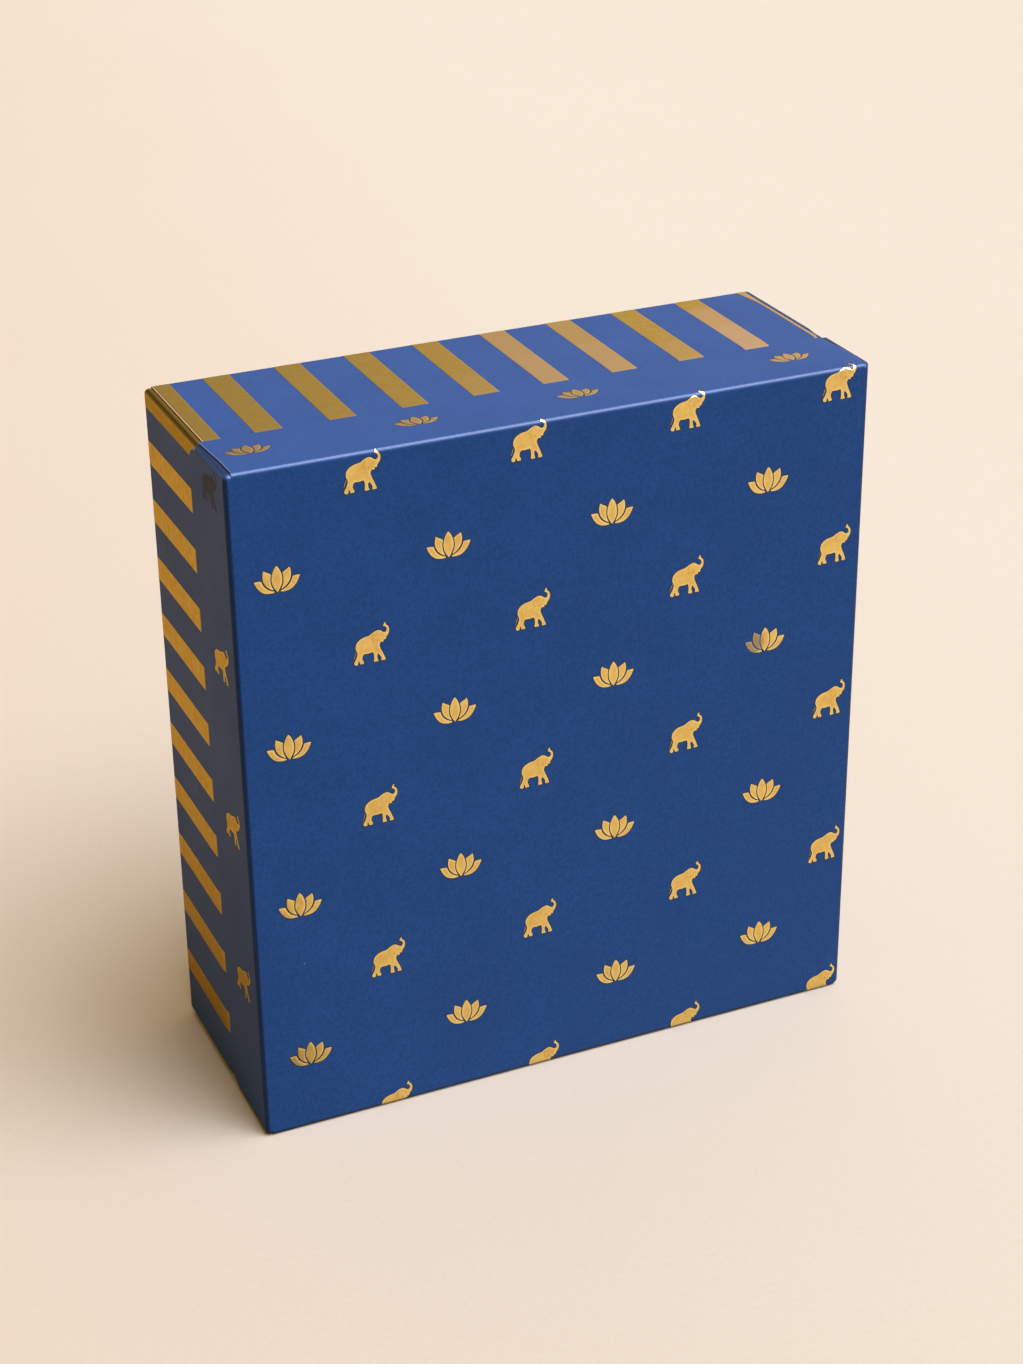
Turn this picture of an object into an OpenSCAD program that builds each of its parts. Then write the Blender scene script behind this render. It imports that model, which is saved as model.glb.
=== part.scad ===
// Two-piece gift box of folded, foil-printed board: a striped tray, and a lid that slips over
// its open side. The box stands on its long edge. X is its width, Z is up, and the lid's face
// looks along -Y. The origin is at the middle of the underside.
// Each blank is folded in the same way: four walls rise from a panel at rolled creases, and the
// side walls' ends roll over into corner tabs that are glued under the top and bottom walls.

/* [Box] */
// Width over the lid
box_w = 202; // [180:1:250]
// Height over the lid
box_h = 220; // [190:1:270]
// Depth from the lid's face to the tray's back
box_d = 76.5; // [60:0.5:110]

/* [Board] */
// Thickness of the board
board_t = 0.45; // [0.35:0.05:0.8]
// Outer radius of the rolled creases
fold_r = 1.5; // [1.2:0.1:2.5]
// Thickness of the glue between a corner tab and its wall
glue_t = 0.05; // [0.03:0.01:0.1]

/* [Lid] */
// Depth of the lid's top and bottom walls
lid_wall_d = 26; // [20:0.5:36]
// How much deeper the lid's side walls are than its top and bottom walls
lid_side_extra = 5.5; // [2:0.5:10]
// Clearance of the lid round the tray
fit_gap = 0.15; // [0.1:0.05:0.4]
// Clearance between the tray's rim and the lid's creases
rim_gap = 0.2; // [0.1:0.1:1]

/* [Corners] */
// How far the cut ends of the top and bottom walls stand in from the rolled corners
cut_step = 0.9; // [0.5:0.1:2]
// Length of a corner tab
tab_l = 26; // [16:1:40]
// Slant of a corner tab's two ends
tab_slant = 3; // [1:0.5:5]
// How far a corner tab stays back from its wall's free edge
tab_step = 0.5; // [0.2:0.1:2]
// Radius of the tray's side walls at the rim
rim_corner_r = 3; // [2:0.5:5]
// Margin round a glue patch
glue_margin = 2; // [1:0.5:4]

/* [Foil] */
// Thickness of the foil
foil_t = 0.05; // [0.03:0.01:0.08]
// Width of a stripe on the top wall
top_stripe_w = 8.3; // [5:0.1:10]
// Pitch of the stripes on the top wall
top_pitch = 22.3; // [16:0.1:30]
// How far the row of stripes on the top wall is off centre
top_shift = -0.4; // [-1:0.1:1]
// Width of the corner stripe on the top wall
top_corner_w = 4; // [2:0.5:5]
// Width of a stripe on a side wall
side_stripe_w = 7.5; // [5:0.1:9]
// Distance from the tray's top to the middle of a side wall's first stripe
side_first = 19.6; // [15:0.1:26]
// Pitch of the stripes on a side wall
side_pitch = 18.6; // [14:0.1:26]
// Number of even pitches on a side wall before the stripes spread
side_even = 5; // [4:1:8]
// Spread of the lower stripes on a side wall
side_spread = 0.7; // [0:0.05:1]
// Height of the corner stripe on a side wall
side_corner_w = 2.2; // [1:0.1:4]

/* [Figures] */
// Height of an elephant
elephant_h = 12.4; // [9:0.1:14]
// Width of a lotus
lotus_w = 13.8; // [10:0.1:16]
// Turn of the printed figures against the panel, in degrees
print_turn = 0.75; // [-1:0.05:1]
// Pitch of the elephants across the panel
elephant_pitch_x = 50.6; // [40:0.1:56]
// Pitch of the elephants up the panel, before it's fitted to the panel's height
elephant_pitch_z = 53.1; // [45:0.1:58]
// Distance of the first elephant's middle from the panel's left edge
elephant_left = 40; // [30:0.1:50]
// Distance of the first elephant's middle below the panel's top edge
elephant_top = 6; // [4:0.1:40]
// Height of the last elephant's middle above the panel's bottom edge
elephant_low = 1.6; // [0:0.1:20]
// Pitch of the lotuses across the panel
lotus_pitch_x = 51.7; // [40:0.1:56]
// Pitch of the lotuses up the panel
lotus_pitch_z = 53.2; // [45:0.1:58]
// Distance of the first lotus's middle from the panel's left edge
lotus_left = 13.6; // [11:0.1:30]
// Distance of the first lotus's middle below the panel's top edge
lotus_top = 33.4; // [10:0.1:45]
// Distance of the lid wall figures' middles from the lid's face
wall_figure_in = 13.2; // [9:0.1:14]
// Pitch of the elephants up a side wall
wall_pitch = 53.9; // [45:0.1:58]
// Distance of the first side wall elephant's middle below the top edge
wall_top = 8.2; // [8:0.1:40]

/* [Hidden] */
$fn = 96;
// The side walls end this far below the top wall's outer face, for the tab that folds under it.
side_drop = board_t + glue_t;
// From there the corner roll takes one crease radius more.
roll_z = side_drop + fold_r;
cut_in = fold_r + cut_step;

// A blank is [width, height, wall depth, side wall depth, tab depth].
lid_side_d = lid_wall_d + lid_side_extra;
lid = [box_w, box_h, lid_wall_d, lid_side_d, lid_wall_d - tab_step];
tray_w = box_w - 2 * (board_t + fit_gap);
tray_h = box_h - 2 * (side_drop + board_t + fit_gap);
tray_d = box_d - fold_r - rim_gap;
tray = [tray_w, tray_h, tray_d, tray_d, tray_d - rim_corner_r];
// As many whole stripes as fit between the corner stripes
top_stripes = floor((tray_w - 2 * (cut_in + top_corner_w)) / top_pitch);

boardBlue = [0.16, 0.28, 0.52];
boardDark = [0.13, 0.22, 0.42];
foilGold = [0.85, 0.67, 0.33];
glueCream = [0.9, 0.87, 0.78];

// The elephants' rows run from the panel's top edge to its bottom edge, where the last one is cut.
elephant_run = box_h - elephant_top - elephant_low;
elephant_row_z = elephant_run / round(elephant_run / elephant_pitch_z);
// A grid of figures is [first from the left, first from the top, pitch across, pitch down].
elephant_grid = [elephant_left, elephant_top, elephant_pitch_x, elephant_row_z];
lotus_grid = [lotus_left, lotus_top, lotus_pitch_x, lotus_pitch_z];

// One petal side or outline per list, as shares of the figure's width or height.
petal_mid_shares = [[0, 0.31], [0.055, 0.22], [0.1, 0.11], [0.113, 0], [0.09, -0.115],
    [0.04, -0.21], [0, -0.27], [-0.04, -0.21], [-0.09, -0.115], [-0.113, 0], [-0.1, 0.11],
    [-0.055, 0.22]];
petal_inner_shares = [[0.275, 0.24], [0.295, 0.19], [0.305, 0.1], [0.285, 0], [0.24, -0.1],
    [0.16, -0.175], [0.07, -0.205], [0.115, -0.14], [0.145, -0.045], [0.145, 0.07],
    [0.13, 0.155]];
petal_outer_shares = [[0.5, 0.035], [0.47, -0.05], [0.42, -0.135], [0.32, -0.23], [0.19, -0.275],
    [0.08, -0.275], [0.05, -0.24], [0.15, -0.205], [0.245, -0.14], [0.31, -0.05], [0.345, 0.03]];
trunk_shares = [[0.305, 0.505], [0.33, 0.52], [0.36, 0.49], [0.35, 0.46], [0.4, 0.43],
    [0.44, 0.37], [0.455, 0.3], [0.44, 0.23], [0.4, 0.16], [0.35, 0.1]];
chin_shares = [[0.35, 0.04], [0.31, 0.06], [0.27, 0.06], [0.3, -0.02], [0.24, 0], [0.2, -0.04],
    [0.2, -0.1]];
foreleg_shares = [[0.24, -0.2], [0.29, -0.32], [0.34, -0.45], [0.33, -0.48], [0.22, -0.48],
    [0.22, -0.41], [0.18, -0.32], [0.14, -0.26], [0.12, -0.34], [0.13, -0.42], [0.15, -0.48],
    [0.05, -0.48], [0.05, -0.38], [0.04, -0.25], [0.02, -0.22]];
hindleg_shares = [[-0.07, -0.24], [-0.18, -0.23], [-0.23, -0.28], [-0.24, -0.36],
    [-0.21, -0.45], [-0.22, -0.48], [-0.31, -0.48], [-0.33, -0.39], [-0.35, -0.48],
    [-0.42, -0.48], [-0.45, -0.44], [-0.41, -0.35], [-0.37, -0.25], [-0.36, -0.17]];
back_shares = [[-0.38, -0.19], [-0.41, -0.25], [-0.42, -0.16], [-0.41, -0.05], [-0.4, 0.04],
    [-0.36, 0.12], [-0.29, 0.175], [-0.19, 0.205], [-0.08, 0.225], [-0.02, 0.265], [0.05, 0.31],
    [0.14, 0.33], [0.21, 0.315], [0.27, 0.275], [0.325, 0.25], [0.37, 0.28], [0.385, 0.33],
    [0.36, 0.385], [0.31, 0.42], [0.295, 0.46]];
// Places of the lotuses along the lid's top wall, as shares of the lid's width.
wall_lotus_shares = [-0.44, -0.19, 0.06, 0.405];

function side_stripe_z(i) =
    tray_h - side_first - side_pitch * i - side_spread * pow(max(0, i - side_even), 2);

// A quarter tube along +Z from the origin, filling the -X, -Y quarter.
module crease(length) {
    linear_extrude(length) intersection() {
        difference() {
            circle(fold_r);
            circle(fold_r - board_t);
        }
        translate([-fold_r, -fold_r]) square(fold_r);
    }
}

// The same crease laid along +X, filling the -Y, +Z quarter.
module crease_x(length) {
    rotate([0, 90, 0]) crease(length);
}

module both_sides() {
    children();
    mirror([1, 0, 0]) children();
}

module both_ends(h) {
    children();
    translate([0, 0, h]) mirror([0, 0, 1]) children();
}

// From the top left corner of a blank to another one.
module at_corner(h, right, low) {
    translate([0, 0, low ? h : 0]) mirror([0, 0, low ? 1 : 0])
        mirror([right ? 1 : 0, 0, 0]) children();
}

module lid_frame() {
    translate([0, -box_d / 2, 0]) children();
}

module tray_frame() {
    translate([0, box_d / 2, (box_h - tray_h) / 2]) mirror([0, 1, 0]) children();
}

// The rounded corner where three rolled edges meet, and its short run to the top wall's cut end.
module corner_roll(w, h) {
    translate([-w / 2 + fold_r, fold_r, h - roll_z]) {
        intersection() {
            difference() {
                sphere(fold_r);
                sphere(fold_r - board_t);
            }
            translate([-fold_r, -fold_r, 0]) cube(fold_r);
        }
        crease_x(cut_step);
    }
}

// Panel in the XZ plane, outer face at y = 0, with the creases to its four walls.
module panel(blank) {
    w = blank[0];
    h = blank[1];
    color(boardBlue) {
        translate([-w / 2 + fold_r, 0, roll_z]) cube([w - 2 * fold_r, board_t, h - 2 * roll_z]);
        translate([-w / 2 + cut_in, 0, fold_r]) cube([w - 2 * cut_in, board_t, h - 2 * fold_r]);
        both_ends(h) translate([-w / 2 + cut_in, fold_r, h - fold_r]) crease_x(w - 2 * cut_in);
        both_sides() {
            translate([-w / 2 + fold_r, fold_r, roll_z]) crease(h - 2 * roll_z);
            both_ends(h) corner_roll(w, h);
        }
    }
}

module top_wall(blank) {
    color(boardBlue) translate([-blank[0] / 2 + cut_in, fold_r, blank[1] - board_t])
        cube([blank[0] - 2 * cut_in, blank[2] - fold_r, board_t]);
}

module bottom_wall(blank) {
    translate([0, 0, blank[1]]) mirror([0, 0, 1]) top_wall(blank);
}

// The left wall's outline across its depth and height, rounded where its free edge meets the tabs.
module side_outline(blank) {
    h = blank[1];
    side_d = blank[3];
    tab_d = blank[4];
    round_r = side_d - tab_d;
    translate([fold_r, roll_z]) square([tab_d - fold_r, h - 2 * roll_z]);
    translate([fold_r, roll_z + round_r])
        square([side_d - fold_r, h - 2 * (roll_z + round_r)]);
    for (z = [roll_z + round_r, h - roll_z - round_r]) translate([tab_d, z]) circle(round_r);
}

module left_wall(blank) {
    color(boardDark) translate([-blank[0] / 2, 0, 0])
        rotate([90, 0, 90]) linear_extrude(board_t) side_outline(blank);
}

module right_wall(blank) {
    mirror([1, 0, 0]) left_wall(blank);
}

// The top left corner tab: the left wall's end, rolled over and run under the top wall.
module corner_tab(blank) {
    run = blank[4] - fold_r;
    color(boardBlue) translate([-blank[0] / 2 + fold_r, fold_r, blank[1] - roll_z]) {
        translate([0, run, 0]) rotate([90, 0, 0]) mirror([0, 1, 0]) crease(run);
        translate([0, 0, fold_r - board_t]) linear_extrude(board_t)
            polygon([[0, 0], [tab_l, tab_slant], [tab_l, run - tab_slant], [0, run]]);
    }
}

// The glue on the top left corner tab.
module glue_patch(blank) {
    run = blank[4] - fold_r;
    margin = tab_slant + glue_margin;
    color(glueCream)
        translate([-blank[0] / 2 + cut_in + glue_margin, fold_r + margin, blank[1] - side_drop])
            cube([tab_l - cut_step - 2 * glue_margin, run - 2 * margin, glue_t]);
}

module glue_patches(blank) {
    both_sides() both_ends(blank[1]) glue_patch(blank);
}

// Stripes along the depth of the tray's top wall, and the corner stripes that end at its cut ends.
module stripes_top() {
    run = tray_d - fold_r;
    color(foilGold) translate([0, fold_r, tray_h]) {
        for (i = [0 : top_stripes - 1])
            translate([(i - (top_stripes - 1) / 2) * top_pitch + top_shift - top_stripe_w / 2, 0, 0])
                cube([top_stripe_w, run, foil_t]);
        both_sides() translate([-tray_w / 2 + cut_in, 0, 0]) cube([top_corner_w, run, foil_t]);
    }
}

module stripes_bottom() {
    translate([0, 0, tray_h]) mirror([0, 0, 1]) stripes_top();
}

// Stripes along the depth of the tray's left wall, and the one that rolls over its top corner.
module stripes_left() {
    run = tray_d - rim_corner_r - fold_r;
    top_z = tray_h - roll_z;
    color(foilGold) translate([-tray_w / 2, fold_r, 0]) {
        for (i = [0 : ceil(tray_h / side_pitch)]) if (side_stripe_z(i) - side_stripe_w / 2 > roll_z)
            translate([-foil_t, 0, side_stripe_z(i) - side_stripe_w / 2])
                cube([foil_t, tray_d - fold_r, side_stripe_w]);
        translate([-foil_t, 0, top_z - side_corner_w]) cube([foil_t, run, side_corner_w]);
        translate([fold_r, run, top_z]) rotate([90, 0, 0]) linear_extrude(run) intersection() {
            difference() {
                circle(fold_r + foil_t);
                circle(fold_r);
            }
            translate([-2 * fold_r, 0]) square(2 * fold_r);
        }
    }
}

module stripes_right() {
    mirror([1, 0, 0]) stripes_left();
}

module elephant() {
    scale(elephant_h)
        polygon(concat(trunk_shares, chin_shares, foreleg_shares, hindleg_shares, back_shares));
}

module lotus() {
    scale(lotus_w) {
        polygon(petal_mid_shares);
        for (side = [0, 1]) mirror([side, 0]) {
            polygon(petal_inner_shares);
            polygon(petal_outer_shares);
        }
    }
}

// A grid of figures on the panel, as many as start on it, turned together about the first one and
// cut off where the panel's creases start.
module panel_figures(grid) {
    rotate([90, 0, 0]) linear_extrude(foil_t) intersection() {
        translate([grid[0] - box_w / 2, box_h - grid[1]]) rotate(print_turn)
            for (c = [0 : floor((box_w - grid[0]) / grid[2])])
                for (r = [0 : floor((box_h - grid[1]) / grid[3])])
                    translate([c * grid[2], -r * grid[3]]) rotate(-print_turn) children();
        translate([-box_w / 2 + cut_in, fold_r]) square([box_w - 2 * cut_in, box_h - 2 * fold_r]);
    }
}

// A column of elephants on a side wall; the wall's depth runs along X here, from from_x.
module wall_elephants(mid_x, from_x) {
    linear_extrude(foil_t) intersection() {
        for (r = [0 : floor((box_h - wall_top) / wall_pitch)])
            translate([mid_x, box_h - wall_top - r * wall_pitch]) elephant();
        translate([from_x, roll_z]) square([lid_wall_d - fold_r, box_h - 2 * roll_z]);
    }
}

module foil_elephants() {
    color(foilGold) {
        panel_figures(elephant_grid) elephant();
        translate([-box_w / 2, 0, 0]) rotate([90, 0, -90])
            wall_elephants(-wall_figure_in, -lid_wall_d);
        translate([box_w / 2, 0, 0]) rotate([90, 0, 90]) wall_elephants(wall_figure_in, fold_r);
    }
}

module foil_lotuses() {
    color(foilGold) {
        panel_figures(lotus_grid) lotus();
        for (share = wall_lotus_shares) translate([share * box_w, wall_figure_in, box_h])
            linear_extrude(foil_t) lotus();
    }
}

tray_frame() panel(tray);  // tray_back_panel
tray_frame() top_wall(tray);  // tray_top_wall
tray_frame() bottom_wall(tray);  // tray_bottom_wall
tray_frame() left_wall(tray);  // tray_left_wall
tray_frame() right_wall(tray);  // tray_right_wall
tray_frame() at_corner(tray_h, false, false) corner_tab(tray);  // tray_corner_tab_top_left
tray_frame() at_corner(tray_h, true, false) corner_tab(tray);  // tray_corner_tab_top_right
tray_frame() at_corner(tray_h, false, true) corner_tab(tray);  // tray_corner_tab_bottom_left
tray_frame() at_corner(tray_h, true, true) corner_tab(tray);  // tray_corner_tab_bottom_right
tray_frame() glue_patches(tray);  // tray_glue_patches
tray_frame() stripes_top();  // tray_foil_top
tray_frame() stripes_bottom();  // tray_foil_bottom
tray_frame() stripes_left();  // tray_foil_left
tray_frame() stripes_right();  // tray_foil_right
lid_frame() panel(lid);  // lid_face_panel
lid_frame() top_wall(lid);  // lid_top_wall
lid_frame() bottom_wall(lid);  // lid_bottom_wall
lid_frame() left_wall(lid);  // lid_left_wall
lid_frame() right_wall(lid);  // lid_right_wall
lid_frame() at_corner(box_h, false, false) corner_tab(lid);  // lid_corner_tab_top_left
lid_frame() at_corner(box_h, true, false) corner_tab(lid);  // lid_corner_tab_top_right
lid_frame() at_corner(box_h, false, true) corner_tab(lid);  // lid_corner_tab_bottom_left
lid_frame() at_corner(box_h, true, true) corner_tab(lid);  // lid_corner_tab_bottom_right
lid_frame() glue_patches(lid);  // lid_glue_patches
lid_frame() foil_elephants();  // lid_foil_elephants
lid_frame() foil_lotuses();  // lid_foil_lotuses
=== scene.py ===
import math

import bmesh
import bpy
from mathutils import Matrix, Vector


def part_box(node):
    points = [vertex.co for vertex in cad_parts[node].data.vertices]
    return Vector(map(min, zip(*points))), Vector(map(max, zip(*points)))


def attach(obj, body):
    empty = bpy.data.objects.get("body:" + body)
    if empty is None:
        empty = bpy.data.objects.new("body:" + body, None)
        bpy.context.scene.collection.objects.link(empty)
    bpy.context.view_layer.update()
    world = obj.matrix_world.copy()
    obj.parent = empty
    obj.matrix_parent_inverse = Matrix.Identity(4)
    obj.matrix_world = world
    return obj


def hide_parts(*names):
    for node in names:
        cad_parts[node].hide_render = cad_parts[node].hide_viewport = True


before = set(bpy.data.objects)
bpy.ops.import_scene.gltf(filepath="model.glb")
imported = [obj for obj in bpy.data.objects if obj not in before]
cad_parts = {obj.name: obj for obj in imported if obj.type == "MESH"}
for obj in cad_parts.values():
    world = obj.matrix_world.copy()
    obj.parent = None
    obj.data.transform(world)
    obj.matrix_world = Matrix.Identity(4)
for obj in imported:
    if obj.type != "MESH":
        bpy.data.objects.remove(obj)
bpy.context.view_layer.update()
mm = 0.001
quarter = math.pi / 2
corners = [(right, low) for right in (False, True) for low in (False, True)]

# Both halves are folded from a panel: x runs across it, d from its face into the box, z up.
blankShape = {
    "arcSteps": 10,
    "cell": 10 * mm, "depthCell": 8 * mm, "tabCell": 4 * mm, "fineCell": 0.3 * mm,
    "tabSlant": 3 * mm, "endsDrop": 0.1,    # the cut ends are pressed down by this share of the cut line
    "wallBand": 0.5 * mm, "cornerBand": 0.1 * mm, "slack": 0.01 * mm,   # how near a point counts as on a wall
    "leastCell": 0.05 * mm, "hair": 1e-9, "topWallCell": 0.05,      # the last is a share of the wall's length
    "springOut": 0.6 * mm, "springRight": 0.5 * mm,     # the tray's walls spring out behind the lid's edges
    "springUp": 0.65 * mm,
    "springRun": 5 * mm, "springCell": 0.5 * mm, "dipRun": 1 * mm, "dipCell": 0.125 * mm,
    "cutLine": 0.36 * mm,           # soft board that shows beside a cut edge
    "askew": 1.1 * mm, "askewLeft": 0.9, "bulge": 0.35,     # the lid's top wall is folded a little crooked
    "wideRight": 0.7 * mm,          # the top and bottom walls reach further over the right corners
    "fullness": 6,                  # the right hand corners are squarer than a round fold, which is 2
    "proud": 0.42 * mm,             # how far the right tucked corners stand up
    "proudFrom": 9 * mm, "proudRun": 7 * mm, "proudGap": 0.15 * mm, "proudRise": 0.3 * mm,
    "topGap": 0.08 * mm,            # and how far they stay under the top
}


def readBlank(prefix, panelNode, inward):
    panelLow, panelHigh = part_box(prefix + panelNode)
    topLow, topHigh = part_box(prefix + "top_wall")
    tabLow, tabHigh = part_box(prefix + "corner_tab_top_left")
    faceY = panelLow.y if inward > 0 else panelHigh.y

    def depth(node):
        return max(abs(end.y - faceY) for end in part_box(prefix + node))

    fold, drop = panelHigh.y - panelLow.y, topHigh.z - tabHigh.z
    return {
        "prefix": prefix, "inward": inward, "faceY": faceY, "base": panelLow.z,
        "width": panelHigh.x - panelLow.x, "height": panelHigh.z - panelLow.z,
        "board": topHigh.z - topLow.z, "fold": fold, "roll": drop + fold, "drop": drop,
        "cutIn": topLow.x - panelLow.x, "tabLength": tabHigh.x - tabLow.x - fold,
        "wallDepth": depth("top_wall"), "sideDepth": depth("left_wall"),
        "tabDepth": depth("corner_tab_top_left"),
        "springOut": 0, "springRight": 0, "springUp": 0, "edgeX": 0, "edgeZ": 0, "askew": 0,
    }


lidBlank = readBlank("lid_", "face_panel", 1)
trayBlank = readBlank("tray_", "back_panel", -1)
lidBlank["askew"] = blankShape["askew"]
boxDepth = trayBlank["faceY"] - lidBlank["faceY"]
trayBlank.update({key: blankShape[key] for key in ("springOut", "springRight", "springUp")},
                 edgeX=boxDepth - lidBlank["sideDepth"], edgeZ=boxDepth - lidBlank["wallDepth"])


def smooth(t):
    t = min(1, max(0, t))
    return t * t * (3 - 2 * t)


def topWallEnds(blank, d, low=False):
    # The lid's top wall is folded slightly askew, so its cut ends slant
    cut, depth, wide = blank["width"] / 2 - blank["cutIn"], blank["wallDepth"], blankShape["wideRight"]
    if low or not blank["askew"]:
        return -cut, cut + wide
    share = blankShape["bulge"]
    back = max(0, (d - share * depth) / ((1 - share) * depth))
    bulge = blank["askew"] * smooth(d / (share * depth))
    return -cut - blankShape["askewLeft"] * blank["askew"] * back, cut + (wide + bulge) * (1 - back)


def squareUp(blank, x, d, z):
    # The top right tucked corners are squarer than the others and stand a little proud
    shape, top = blankShape, blank["height"]
    u, v = x - (blank["width"] / 2 - blank["fold"]), z - (top - blank["roll"])
    if u > 0 and v > 0 and z < top - blank["drop"] + shape["cornerBand"]:
        n = shape["fullness"]
        grow = math.hypot(u, v) / (u ** n + v ** n) ** (1 / n)
        x, z = x + u * (grow - 1), z + v * (grow - 1)
    beside = smooth((x - topWallEnds(blank, d)[1] - shape["proudGap"]) / shape["proudRise"])
    up = beside * smooth((z - top + shape["proudFrom"]) / shape["proudRun"]) * shape["proud"]
    return x, max(z, min(z + up, top - shape["topGap"]))


def toWorld(blank, x, d, z):
    w, h, shape = blank["width"], blank["height"], blankShape
    if x > 0 and z > h / 2:
        x, z = squareUp(blank, x, d, z)
    out = blank["springRight"] if x > 0 else blank["springOut"] * (1 - z / h) ** 2
    onWall = abs(z - h / 2) > h / 2 - shape["wallBand"] and x < topWallEnds(blank, d)[1] + shape["slack"]
    edge = blank["edgeZ"] if onWall else blank["edgeX"]
    x *= 1 + 2 * out / w * smooth((edge - d) / shape["springRun"])
    z *= 1 + blank["springUp"] / h * smooth((blank["edgeZ"] - d) / shape["dipRun"])
    return Vector((x, blank["faceY"] + blank["inward"] * d, blank["base"] + z))


def directed(blank, x, d, z):
    return Vector((x, blank["inward"] * d, z)).normalized()


def around(fold, s):
    # Across a crease, s = 0 where the panel ends: distance from the wall's plane, depth, and the normal.
    if s <= 0:
        return fold - s, 0, 0, -1
    a = s / fold
    if a < quarter:
        return fold - fold * math.sin(a), fold - fold * math.cos(a), math.sin(a), -math.cos(a)
    return 0, fold + s - fold * quarter, 1, 0


def spaced(start, end, step):
    count = max(1, round(abs(end - start) / step))
    return [start + (end - start) * i / count for i in range(count + 1)]


# Sine and cosine at each step round a fold
arc = [(math.sin(a), math.cos(a)) for a in spaced(0, quarter, quarter / blankShape["arcSteps"])]


# A patch is a list of rows of (x, d, z, nx, nd, nz) on the board's outer face.
def flipped(blank, patch, right=False, low=False):
    h, across, up = blank["height"], -1 if right else 1, -1 if low else 1
    return [[(across * x, d, h - z if low else z, across * nx, nd, up * nz)
             for x, d, z, nx, nd, nz in row] for row in patch]


def depthLines(blank, end):
    # Depths at which a wall is cut into cells, closest where the tray springs out past the lid
    edges = [blank["fold"], end, *spaced(blank["fold"], end, blankShape["depthCell"])]
    if blank["springUp"]:
        for edge, cell in (("edgeX", "springCell"), ("edgeZ", "dipCell")):
            edges += spaced(blank[edge] - blankShape["springRun"], blank[edge], blankShape[cell])
    kept = []
    for d in sorted(edges):
        if blank["fold"] <= d <= end and (not kept or d - kept[-1] > blankShape["leastCell"]):
            kept.append(d)
    kept[-1] = end
    return kept


def panelPatches(blank):
    w, h, fold, roll = (blank[key] for key in ("width", "height", "fold", "roll"))
    left, (cut, rightCut) = -w / 2 + fold, topWallEnds(blank, 0, low=True)
    flatZ = spaced(roll, h - roll, blankShape["cell"])

    def column(x, start, zs):
        low = [(x, fold - fold * c, start - fold * s, 0, -c, -s) for s, c in reversed(arc)]
        high = [(x, d, h - z, nx, nd, -nz) for x, d, z, nx, nd, nz in reversed(low)]
        return low[:-1] + [(x, 0, z, 0, -1, 0) for z in zs] + high[1:]

    middle = [column(x, fold, [fold, *flatZ, h - fold]) for x in spaced(cut, rightCut, blankShape["cell"])]
    strips = [[column(x, roll, flatZ) for x in spaced(*ends, blankShape["fineCell"])]
              for ends in ((left, cut), (rightCut, -left))]
    crease = [[(left - fold * s, fold - fold * c, z, -s, -c, 0) for z in flatZ] for s, c in arc]
    corner = []
    for up, out in arc:
        ways = [(-s * out, -c * out, up) for s, c in arc]
        corner.append([(left + fold * n[0], fold + fold * n[1], h - roll + fold * n[2], *n) for n in ways])
    return [middle, *strips, crease, flipped(blank, crease, right=True),
            *(flipped(blank, corner, right, low) for right, low in corners)]


def topWallPatches(blank, low=False):
    line, top = blankShape["cutLine"], blank["height"]

    def row(share, inset, z):
        out = []
        for d in depthLines(blank, blank["wallDepth"]):
            left, right = topWallEnds(blank, d, low)
            out.append((left + inset + share * (right - left - 2 * inset), d, z, 0, 0, 1))
        return out

    main = [row(share, line, top) for share in spaced(0, 1, blankShape["topWallCell"])]
    cut = top - blankShape["endsDrop"] * line
    patches = [(main, 0), ([row(0, 0, cut), main[0]], 2), ([main[-1], row(1, 0, cut)], 2)]
    return [(flipped(blank, patch, low=low), slot) for patch, slot in patches]


def sideWallPatch(blank):
    # The rim rounds the wall's free corners
    roll, h, rim = blank["roll"], blank["height"], blank["sideDepth"] - blank["tabDepth"]
    ends = [(roll + rim * (1 - c), blank["tabDepth"] + rim * s) for s, c in arc]
    ends += [(z, blank["sideDepth"]) for z in spaced(roll + rim, h - roll - rim, blankShape["cell"])[1:]]
    ends += [(h - z, d) for z, d in reversed(ends[:blankShape["arcSteps"]])]
    hair = blankShape["hair"]
    inner = depthLines(blank, blank["tabDepth"])
    return [[(-blank["width"] / 2, d, z, -1, 0, 0) for d in (*inner, end + hair)] for z, end in ends]


def cornerTabPatches(blank):
    fold, h, roll = blank["fold"], blank["height"], blank["roll"]
    left, ds = -blank["width"] / 2 + fold, depthLines(blank, blank["tabDepth"])
    crease = [[(left - fold * c, d, h - roll + fold * s, -c, 0, s) for d in ds] for s, c in arc]
    flat = []
    for x in spaced(0, blank["tabLength"], blankShape["tabCell"]):
        inset = blankShape["tabSlant"] * x / blank["tabLength"]
        first, last = ds[0] + inset, ds[-1] - inset
        flat.append([(left + x, first + (d - ds[0]) / (ds[-1] - ds[0]) * (last - first), h - blank["drop"],
                      0, 0, 1) for d in ds])
    return [crease, flat]


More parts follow.
